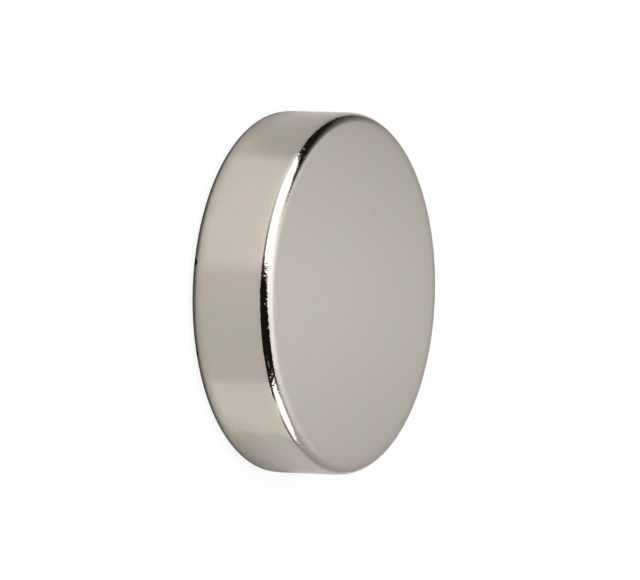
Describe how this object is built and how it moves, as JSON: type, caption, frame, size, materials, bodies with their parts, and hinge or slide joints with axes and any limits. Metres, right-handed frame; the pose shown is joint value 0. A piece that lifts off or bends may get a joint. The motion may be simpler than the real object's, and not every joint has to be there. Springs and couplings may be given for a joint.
{
  "type": "disc magnet",
  "caption": "Plain disc magnet with flat faces, a straight side and rounded rims, in bright nickel plating.",
  "frame": {"origin": "centre of the flat face that the disc lies on", "axes": "+Z along the disc's axis, from the face it lies on to the other; X and Y are free, because the disc is round"},
  "size_m": [0.02, 0.02, 0.005],
  "materials": {
    "nickel_plating": "bright nickel plating, mirror smooth with a faint orange-peel ripple on the rims"
  },
  "bodies": {
    "root": {"magnet": "nickel_plating"}
  },
  "joints": []
}
